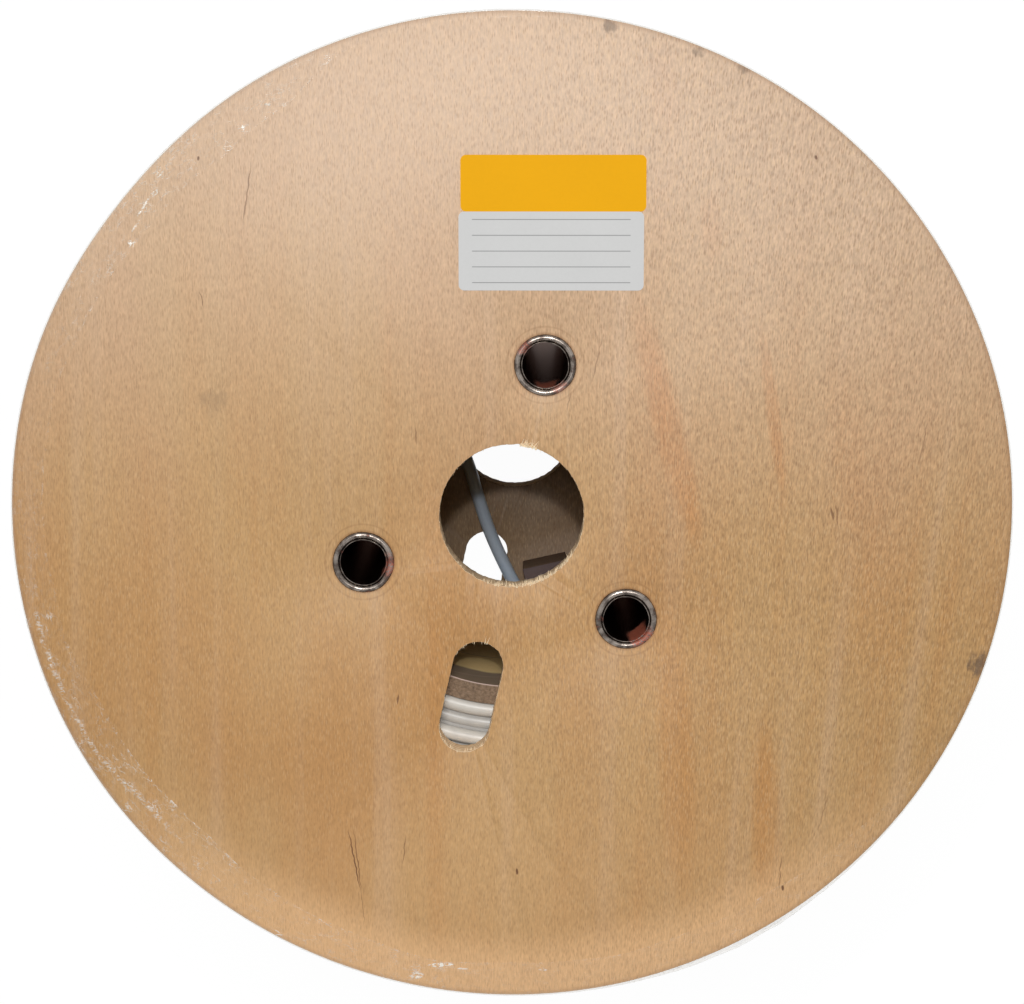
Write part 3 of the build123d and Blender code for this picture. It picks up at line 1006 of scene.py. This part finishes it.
def splinter_mesh(look):
    """Torn fibres of the front veneer round the arbor hole and the cable slot."""
    bm = bmesh.new()
    draw = random.Random(11)
    top = FRONT_HIGH.z

    def at_arbor(angle):
        return outward_way(angle) * ARBOR_RADIUS + Vector((0, 0, top))

    for _ in range(34):
        way = Vector((draw.uniform(-0.9, 0.9), draw.uniform(0.2, 1.0), draw.uniform(0.08, 0.35))).normalized()
        root = at_arbor(draw.uniform(70, 84)) - Vector((0, 0, 0.15 * MM))
        fibre_spike(bm, root, way, draw.uniform(1.6, 5.0) * MM, draw.uniform(0.4, 0.75) * MM)
    for _ in range(170):
        angle = draw.triangular(236, 335, 295)
        root = at_arbor(angle) - Vector((0, 0, draw.uniform(0.0, 3.0) * MM))
        way = Vector((draw.uniform(-0.35, 0.35), draw.uniform(0.5, 1.0), draw.uniform(-1.2, 0.1)))
        way.normalize()
        fibre_spike(bm, root, way, draw.uniform(1.2, 3.4) * MM, draw.uniform(0.35, 0.75) * MM)
    for _ in range(50):
        root = at_arbor(draw.uniform(0, 360)) - Vector((0, 0, draw.uniform(0.1, 2.0) * MM))
        way = Vector((draw.uniform(-0.2, 0.2), -math.copysign(1, root.y), draw.uniform(-0.6, 0.2)))
        way.normalize()
        fibre_spike(bm, root, way, draw.uniform(0.5, 1.4) * MM, draw.uniform(0.25, 0.45) * MM)

    side = Vector((-SLOT_WAY.y, SLOT_WAY.x, 0))
    out = Vector((SLOT_WAY.x, SLOT_WAY.y, 0))
    half = look.slot_width / 2
    inner = out * (look.slot_start + half) + Vector((0, 0, top))
    outer = out * (look.slot_start + look.slot_length - half) + Vector((0, 0, top))
    for _ in range(15):
        turn = math.radians(draw.uniform(-75, 5))
        drop = Vector((0, 0, draw.uniform(0.1, 1.0) * MM))
        root = inner + (side * math.sin(turn) - out * math.cos(turn)) * half - drop
        way = Vector((draw.uniform(-0.3, 0.3), -1.0, draw.uniform(-0.4, 0.1))).normalized()
        fibre_spike(bm, root, way, draw.uniform(0.7, 2.0) * MM, draw.uniform(0.25, 0.5) * MM)
    for lean in (0.2, 0.45):
        root = inner - out * half - Vector((0, 0, 0.15 * MM)) + side * (lean * 4 * MM)
        fibre_spike(bm, root, Vector((lean, 1.0, 0.25)).normalized(), 4.0 * MM, 0.5 * MM)
    for _ in range(40):
        turn = math.radians(draw.uniform(-80, 80))
        drop = Vector((0, 0, draw.uniform(0.2, 3.0) * MM))
        root = outer + (side * math.sin(turn) + out * math.cos(turn)) * half - drop
        way = Vector((draw.uniform(-0.3, 0.3), 1.0, draw.uniform(-1.0, 0.1))).normalized()
        fibre_spike(bm, root, way, draw.uniform(0.8, 2.4) * MM, draw.uniform(0.35, 0.65) * MM)
    bmesh.ops.recalc_face_normals(bm, faces=bm.faces)
    return made_mesh("torn_fibres", bm)


class DRUM_OT_flanges(bpy.types.Operator):
    """Makes both plywood flanges and the torn fibres round the front holes"""

    bl_idname = "drum.flanges"
    bl_label = "Plywood flanges"

    def execute(self, context):
        look = context.scene.drum_plywood
        wood = plywood_finish(look)
        front = flange_mesh("front_flange_piece", FRONT_LOW.z, FRONT_HIGH.z, look, 1.7)
        rear = flange_mesh("rear_flange_piece", REAR_LOW.z, REAR_HIGH.z, look, 8.3)
        new_piece("front_flange_piece", front, [wood], ["front_flange"], smooth=25)
        new_piece("rear_flange_piece", rear, [wood], ["rear_flange"], smooth=25)
        new_piece("torn_fibres", splinter_mesh(look), [splinter_finish(look)], smooth=50)
        return {"FINISHED"}


class DRUM_OT_barrel(bpy.types.Operator):
    """Makes the cardboard barrel with its notch, and the tongue folded in beside it"""

    bl_idname = "drum.barrel"
    bl_label = "Cardboard barrel"

    def execute(self, context):
        look = context.scene.drum_cardboard
        board = cardboard_finish(look)
        outer = BARREL_HIGH.x
        inner = outer - BARREL_WALL
        foot, head = BARREL_LOW.z, BARREL_HIGH.z
        brow = foot + look.notch_height
        bm = bmesh.new()
        outside = [(outer, foot), (outer, brow), (outer, head)]
        spin_line(bm, [(inner, foot)] + outside + [(inner, head), (inner, brow)], BARREL_STEPS)
        tidy_shell(bm)
        notch = NOTCH_STEPS * math.tau / BARREL_STEPS
        lost = []
        for face in bm.faces:
            spot = face.calc_center_median()
            if spot.z < brow - 0.1 * MM and 0 < math.atan2(spot.y, spot.x) < notch:
                lost.append(face)
        bmesh.ops.delete(bm, geom=lost, context="FACES")
        rims = [edge for edge in bm.edges if edge.is_boundary]
        walls = []
        for edge in rims:
            start, end = (vert.co.xy.length for vert in edge.verts)
            if abs(start - end) < 1.0 * MM:
                walls.append(edge)
        bmesh.ops.bridge_loops(bm, edges=walls)
        bmesh.ops.rotate(bm, matrix=Matrix.Rotation(NOTCH_TURN, 3, "Z"), verts=bm.verts)
        bmesh.ops.recalc_face_normals(bm, faces=bm.faces)
        tube = made_mesh("barrel_piece", bm)
        new_piece("barrel_piece", tube, [board], ["barrel"], smooth=25)

        bm = bmesh.new()
        bm.from_mesh(frame["nodes"]["barrel_tongue"].data)
        bmesh.ops.remove_doubles(bm, verts=bm.verts, dist=0.001 * MM)
        bmesh.ops.dissolve_limit(bm, angle_limit=math.radians(5), verts=bm.verts, edges=bm.edges)
        round_edges(bm, bm.edges, 0.5 * MM)
        tongue = made_mesh("barrel_tongue_piece", bm)
        paper = tongue_finish(look)
        new_piece("barrel_tongue_piece", tongue, [paper], ["barrel_tongue"], smooth=40)
        return {"FINISHED"}


def rim_line():
    """One end of a tie tube's section in millimetres above the flange's face: lip, groove and bead."""
    lip = [(10.25, 0.5), (10.27, 0.85), (10.36, 1.1), (10.52, 1.2), (10.7, 1.1), (10.84, 0.8), (10.94, 0.45)]
    groove = [(11.02, 0.25)]
    bead = []
    out, rise = BEAD_MIDDLE
    for step in range(15):
        turn = math.radians(172 - step * (186 / 14))
        bead.append((out + BEAD_RADIUS * math.cos(turn), rise + BEAD_RADIUS * math.sin(turn)))
    return lip + groove + bead + [(13.85, 0.01), (11.0, 0.01)]


class DRUM_OT_tie_tubes(bpy.types.Operator):
    """Makes the three steel tie tubes with rolled rims at both ends"""

    bl_idname = "drum.tie_tubes"
    bl_label = "Tie tubes"

    def execute(self, context):
        look = context.scene.drum_steel
        finishes = [steel_finish(look), bore_finish(look)]
        front, rear = FRONT_HIGH.z, REAR_LOW.z
        for number, place in enumerate(TUBE_PLACES, start=1):
            bm = bmesh.new()
            upper = [(radius * MM, front + rise * MM) for radius, rise in rim_line()]
            lower = [(radius * MM, rear - rise * MM) for radius, rise in rim_line()[::-1]]
            spin_line(bm, upper + lower, 72)
            tidy_shell(bm)
            for face in bm.faces:
                widest = max(vert.co.xy.length for vert in face.verts)
                face.material_index = 1 if widest < TUBE_BORE + 0.01 * MM else 0
            for vert in bm.verts:
                if vert.co.xy.length > 10.3 * MM and not rear < vert.co.z < front:
                    dent = noise.noise(vert.co * 110 + Vector((number * 7.0, 0, 0))) - 0.35
                    shift = min(0.0, dent) * 0.22 * MM
                    vert.co.z += shift if vert.co.z > front else -shift
                    vert.co.xy *= 1 + shift * 1.2 / vert.co.xy.length
            bmesh.ops.translate(bm, vec=(place.x, place.y, 0), verts=bm.verts)
            name = f"tie_tube_{number}_piece"
            new_piece(name, made_mesh(name, bm), finishes, [f"tie_tube_{number}"], smooth=50)
        return {"FINISHED"}


def cable_ring(bm, radius, height, sides, steps, cable, pitch=0.0):
    """Spins the cable's round section once about the axis: a closed ring, or one open turn that climbs."""
    matrix = Matrix.Translation((radius, 0, height)) @ Matrix.Rotation(math.radians(90), 4, "X")
    verts = bmesh.ops.create_circle(bm, segments=sides, radius=cable / 2, matrix=matrix)["verts"]
    geom = verts + loop_edges(verts)
    up, climb = (0, 0, 1), (0, 0, pitch / steps)
    bmesh.ops.spin(bm, geom=geom, axis=up, angle=math.tau, steps=steps, dvec=climb, use_merge=not pitch)


def add_copies(bm, single, step, number):
    """Adds a number of copies of a finished bmesh, each one step further on."""
    mesh = made_mesh("single", single)
    for _ in range(number):
        bm.from_mesh(mesh)
        mesh.transform(step)
    bpy.data.meshes.remove(mesh)


def add_helix(bm, radius, height, look, turns):
    """Lays one layer of turns, each a copy of the first one pitch further on, with both ends closed."""
    single = bmesh.new()
    cable_ring(single, radius, height, 10, 120, look.diameter, look.turn_pitch)
    add_copies(bm, single, Matrix.Translation((0, 0, look.turn_pitch)), turns)
    bmesh.ops.remove_doubles(bm, verts=bm.verts, dist=0.001 * MM)
    bmesh.ops.holes_fill(bm, edges=[edge for edge in bm.edges if edge.is_boundary], sides=0)


class DRUM_OT_winding(bpy.types.Operator):
    """Winds the cable on the barrel: outer turns, end rings at the slots and a core behind them"""

    bl_idname = "drum.winding"
    bl_label = "Cable winding"

    def execute(self, context):
        look = context.scene.drum_cable
        cable, pitch, layer = look.diameter, look.turn_pitch, look.layer_pitch
        inside = BARREL_HIGH.x + WINDING_GAP
        top = WINDING_HIGH.x - cable / 2
        low, high = WINDING_LOW.z, WINDING_HIGH.z
        bm = bmesh.new()
        add_helix(bm, top - layer, low + cable / 2, look, FULL_TURNS)
        add_helix(bm, top, MIDDLE + pitch / 2, look, LAST_TURNS)
        for vert in bm.verts:
            turn = vert.co.z / pitch
            side = vert.co.xy.normalized() * 2.2
            loose = noise.noise(Vector((side.x, side.y, turn * 0.9)))
            vert.co.xy *= 1 + loose * 0.35 * MM / vert.co.xy.length
            if low + cable < vert.co.z < high - cable:
                vert.co.z += noise.noise(Vector((side.x + 9, side.y, turn * 0.9))) * 0.4 * MM
        for number in range(SLOT_RINGS):
            radius = inside + cable * (number + 0.5)
            sunk = cable / 2 + (number % 2) * pitch * 0.42
            single = bmesh.new()
            cable_ring(single, radius, low + sunk, 12, 144, cable)
            add_copies(bm, single, Matrix.Translation((0, 0, high - low - 2 * sunk)), 2)
        valley, brim = low + RING_VALLEY, inside + cable * SLOT_RINGS
        core = [(inside, valley), (brim, valley), (brim, low), (top - layer, low)]
        core += [(radius, low + high - height) for radius, height in core[::-1]]
        single = bmesh.new()
        spin_line(single, core, 96)
        add_copies(bm, single, Matrix(), 1)
        tidy_shell(bm)
        mesh = made_mesh("cable_winding_piece", bm)
        sheath = cable_finish("cable_sheath", look.sheath, look, look.valley_shade)
        new_piece("cable_winding_piece", mesh, [sheath], ["cable_winding"], smooth=50)
        return {"FINISHED"}


# Width of the film's lap on the front face, how crinkled it is and how milky, by angle in degrees; the
# milkiness is the film's own haze, raised at the bottom as a painted sheen
LAP = (
    (0, 4.0), (60, 3.5), (104, 3.5), (110, 6.0), (118, 17.0), (128, 18.8), (136, 17.0),
    (145, 17.5), (165, 14.0), (195, 16.0), (206, 20.0), (227, 22.0), (245, 17.0), (262, 14.5),
    (270, 16.5), (283, 14.5), (306, 13.5), (317, 11.0), (331, 4.0), (360, 4.0),
)
CRINKLE = (
    (0, 0.05), (105, 0.1), (115, 0.5), (130, 0.7), (150, 0.7), (168, 0.15), (190, 0.5), (205, 0.7),
    (222, 0.8), (240, 0.5), (255, 0.6), (268, 0.3), (285, 0.12), (305, 0.25), (330, 0.15), (360, 0.05),
)
MILKY = ((0, 0.03), (240, 0.03), (258, 0.12), (285, 0.12), (298, 0.06), (360, 0.03))

# Painted highlights: spots of the film on the front face made whiter and more opaque to stand for glints on
# its creases: degrees round, millimetres from the axis, size, strength
GLINTS = (
    (143.9, 209.0, 3.0, 1.0), (124.2, 210.1, 3.0, 0.9), (127.1, 207.6, 2.6, 0.9), (120.7, 209.4, 2.6, 0.8),
    (118.4, 208.5, 2.6, 0.8), (111.7, 218.9, 3.0, 0.7), (139.6, 215.4, 4.0, 0.9), (137.5, 216.4, 4.0, 0.9),
    (135.0, 219.2, 4.0, 0.8), (192.8, 216.4, 5.0, 0.4), (197.7, 219.5, 5.0, 0.35), (208.6, 221.8, 5.0, 0.35),
    (217.7, 220.5, 5.0, 0.4), (261.3, 212.9, 4.0, 0.3), (258.4, 219.8, 4.0, 0.3), (241.2, 222.9, 3.0, 0.9),
    (219.5, 212.2, 5.0, 0.4), (231.6, 208.4, 5.0, 0.3), (206.6, 206.5, 4.0, 0.3), (227.0, 205.5, 4.0, 0.3),
)


def ridge(spot):
    """Sharp creases: one along the zero lines of a noise, falling off on both sides."""
    return max(0.0, 1.0 - abs(noise.noise(spot)) * 5.0)


def film_mesh(look):
    """One open sheet of film: front lap, rim, side and rear lap, with creases, a loose pocket and a sag."""
    sectors, steps, lap_rows, side_rows = 8, 90, 14, 48
    front, rear, radius = FILM_HIGH.z - 0.15 * MM, FILM_LOW.z + 0.15 * MM, FILM_HIGH.x - 0.15 * MM
    lap, bend = FILM_LAP, 0.7 * MM
    line = [(radius - lap + (lap - bend) * row / lap_rows, front) for row in range(lap_rows + 1)]
    for turn in (60, 30):
        angle = math.radians(turn)
        line.append((radius - bend + bend * math.cos(angle), front - bend + bend * math.sin(angle)))
    tall = front - rear - 2 * bend
    side = [(radius, front - bend - tall * row / side_rows) for row in range(side_rows + 1)]
    foot = [(spot, rear + front - height) for spot, height in line[::-1]]
    single = bmesh.new()
    spin_line(single, line + side + foot, steps, closed=False, angle=math.tau / sectors)
    bm = bmesh.new()
    add_copies(bm, single, Matrix.Rotation(math.tau / sectors, 4, "Z"), sectors)
    tidy_shell(bm)
    highest = max(bm.faces, key=lambda face: face.calc_center_median().z)
    if highest.normal.z < 0:
        bmesh.ops.reverse_faces(bm, faces=bm.faces)
    crease_and_glint = bm.verts.layers.float.new("crease_and_glint")
    layers = bm.verts.layers.float.new("layers")
    glints = []
    for angle, away, size, strength in GLINTS:
        glints.append((outward_way(angle) * away * MM, size * MM, strength))
    for vert in bm.verts:
        angle = degrees(vert.co)
        way = outward_way(angle)
        out, height = vert.co.xy.length, vert.co.z
        crinkle = along(CRINKLE, angle)
        dip = rim_radius(angle, 1.7) + 0.35 * MM - FLANGE_RADIUS
        across = (radius - bend - out) / (lap - bend)
        if across > 0.001:
            ragged = noise.noise(way * 9 + Vector((0, 0, 4))) * 1.6 * MM * min(1.0, crinkle + 0.3)
            width = along(LAP, angle) * MM + ragged
            if height < MIDDLE:
                width = (15 + noise.noise(way * 3) * 5 + noise.noise(way * 11) * 2) * MM
                crinkle = 0.3 + 0.5 * abs(noise.noise(way * 2 + Vector((5, 0, 0))))
            out = radius - bend - across * max(width - bend, 1.5 * MM)
            folds = ridge(Vector((angle * 0.16, across * 2.4 + angle * 0.03, 1.0)))
            fine = ridge(Vector((angle * 0.45, across * 3.5 - angle * 0.05, 7.0)))
            arch = math.sin(math.pi * min(1.0, across * 1.15 + 0.05))
            lift = (folds * 0.55 + fine * 0.35) * crinkle * arch * 0.9 * MM
            height += lift if height > MIDDLE else -lift * 0.4
            vert[crease_and_glint] = crinkle * (0.15 + folds * 0.45)
            vert[crease_and_glint] += 0.5 * max(0.0, 1 - (1 - across) * lap_rows * 0.9) * min(1.0, crinkle + 0.25)
            # Painted highlights: the glint spots raise the film's opacity.
            for spot, size, strength in glints:
                away = (way * out - spot).length / size
                if away < 1 and height > MIDDLE:
                    vert[crease_and_glint] += strength * (1 - away) * 1.6
            vert[layers] = along(MILKY, angle) if height > MIDDLE else 0.15
        else:
            down = (front - height) / (front - rear)
            free = math.sin(math.pi * min(1.0, max(0.0, (down - 0.05) / 0.9)))
            pull = noise.noise(Vector((way.x * 9, way.y * 9, down * 1.2)))
            pull += 0.6 * noise.noise(Vector((way.x * 24, way.y * 24, down * 2 + 5)))
            out += -look.sag * free + pull * 0.9 * MM * free
            beside, below = (angle - FILM_POCKET_ANGLE) / 13, (down - 0.055) / 0.055
            loose = math.exp(-(beside**2)) * math.exp(-(below**2))
            out += look.pocket * loose * (1 + 0.3 * noise.noise(way * 40))
            folds = ridge(Vector((angle * 0.12, down * 5 + angle * 0.02, 3.0)))
            vert[crease_and_glint] = (0.4 + 0.25 * loose) * folds**2
            vert[layers] = 1.0
        out += dip
        vert.co = Vector((way.x * out, way.y * out, height))
    return made_mesh("stretch_film_piece", bm)


class DRUM_OT_stretch_film(bpy.types.Operator):
    """Wraps clear film round both rims, lapped over the outer faces"""

    bl_idname = "drum.stretch_film"
    bl_label = "Stretch film"

    def execute(self, context):
        look = context.scene.drum_film
        mesh, film = film_mesh(look), film_finish(look)
        piece = new_piece("stretch_film_piece", mesh, [film], ["stretch_film"], smooth=80)
        return {"FINISHED"}


def label_mesh(node, look, shift):
    """A thin sheet with round corners, slightly wavy, on the front flange."""
    low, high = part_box(node)
    bm = bmesh.new()
    bmesh.ops.create_grid(bm, x_segments=1, y_segments=1, size=0.5)
    bmesh.ops.scale(bm, vec=(high.x - low.x, high.y - low.y, 1), verts=bm.verts)
    round_edges(bm, bm.verts, look.corner, "VERTICES", 6)
    for axis, size in ((0, high.x - low.x), (1, high.y - low.y)):
        for cut in range(-5, 6):
            spot, way = Vector((0, 0, 0)), Vector((0, 0, 0))
            spot[axis], way[axis] = cut * size / 12, 1
            geom = bm.verts[:] + bm.edges[:] + bm.faces[:]
            bmesh.ops.bisect_plane(bm, geom=geom, plane_co=spot, plane_no=way)
    base = bm.faces[:]
    raised = bmesh.ops.extrude_face_region(bm, geom=base)["geom"]
    lifted = [part for part in raised if isinstance(part, bmesh.types.BMVert)]
    bmesh.ops.translate(bm, vec=(0, 0, high.z - low.z - 0.05 * MM), verts=lifted)
    bmesh.ops.recalc_face_normals(bm, faces=bm.faces)
    for vert in bm.verts:
        vert.co.z += (noise.noise(vert.co.xyz * 60) + 1) * 0.02 * MM if vert.co.z > 0.05 * MM else 0
    middle = (low + high) / 2
    bmesh.ops.translate(bm, vec=(middle.x + shift, middle.y, low.z), verts=bm.verts)
    return made_mesh(node + "_piece", bm)


class DRUM_OT_labels(bpy.types.Operator):
    """Lays the white and the yellow label on the front flange"""

    bl_idname = "drum.labels"
    bl_label = "Labels"

    def execute(self, context):
        look = context.scene.drum_label
        papers = (
            ("label_white", paper_finish("label_white", look.white, look.rule), "label_paper_white", 0.0),
            ("label_yellow", paper_finish("label_yellow", look.yellow), "label_paper_yellow", 0.9 * MM),
        )
        for node, paper, slot, shift in papers:
            mesh = label_mesh(node, look, shift)
            piece = new_piece(node + "_piece", mesh, [paper], [node], smooth=30)
        return {"FINISHED"}


LOOKS = (
    ("drum_stage", StageLook),
    ("drum_plywood", PlywoodLook),
    ("drum_cardboard", CardboardLook),
    ("drum_steel", SteelLook),
    ("drum_cable", CableLook),
    ("drum_film", FilmLook),
    ("drum_label", LabelLook),
)
OPERATORS = (
    DRUM_OT_stage,
    DRUM_OT_cable_tail,
    DRUM_OT_flanges,
    DRUM_OT_barrel,
    DRUM_OT_tie_tubes,
    DRUM_OT_winding,
    DRUM_OT_stretch_film,
    DRUM_OT_labels,
)


class DRUM_PT_panel(bpy.types.Panel):
    """Lists the pieces of the drum and the values that shape them"""

    bl_idname = "DRUM_PT_panel"
    bl_label = "Cable drum"
    bl_space_type = "VIEW_3D"
    bl_region_type = "UI"
    bl_category = "Drum"

    def draw(self, context):
        for operator in OPERATORS:
            self.layout.operator(operator.bl_idname)
        for name, look in LOOKS:
            box = self.layout.box()
            box.label(text=look.__doc__)
            for key in look.__annotations__:
                box.prop(getattr(context.scene, name), key)


def register():
    for name, look in LOOKS:
        bpy.utils.register_class(look)
        setattr(bpy.types.Scene, name, PointerProperty(type=look))
    for operator in OPERATORS:
        bpy.utils.register_class(operator)
    bpy.utils.register_class(DRUM_PT_panel)


def unregister():
    bpy.utils.unregister_class(DRUM_PT_panel)
    for operator in OPERATORS[::-1]:
        bpy.utils.unregister_class(operator)
    for name, look in LOOKS[::-1]:
        delattr(bpy.types.Scene, name)
        bpy.utils.unregister_class(look)


def main():
    register()
    bpy.ops.drum.stage()
    bpy.ops.drum.cable_tail()
    bpy.ops.drum.flanges()
    bpy.ops.drum.barrel()
    bpy.ops.drum.tie_tubes()
    bpy.ops.drum.winding()
    bpy.ops.drum.stretch_film()
    bpy.ops.drum.labels()


if __name__ == "__main__":
    main()
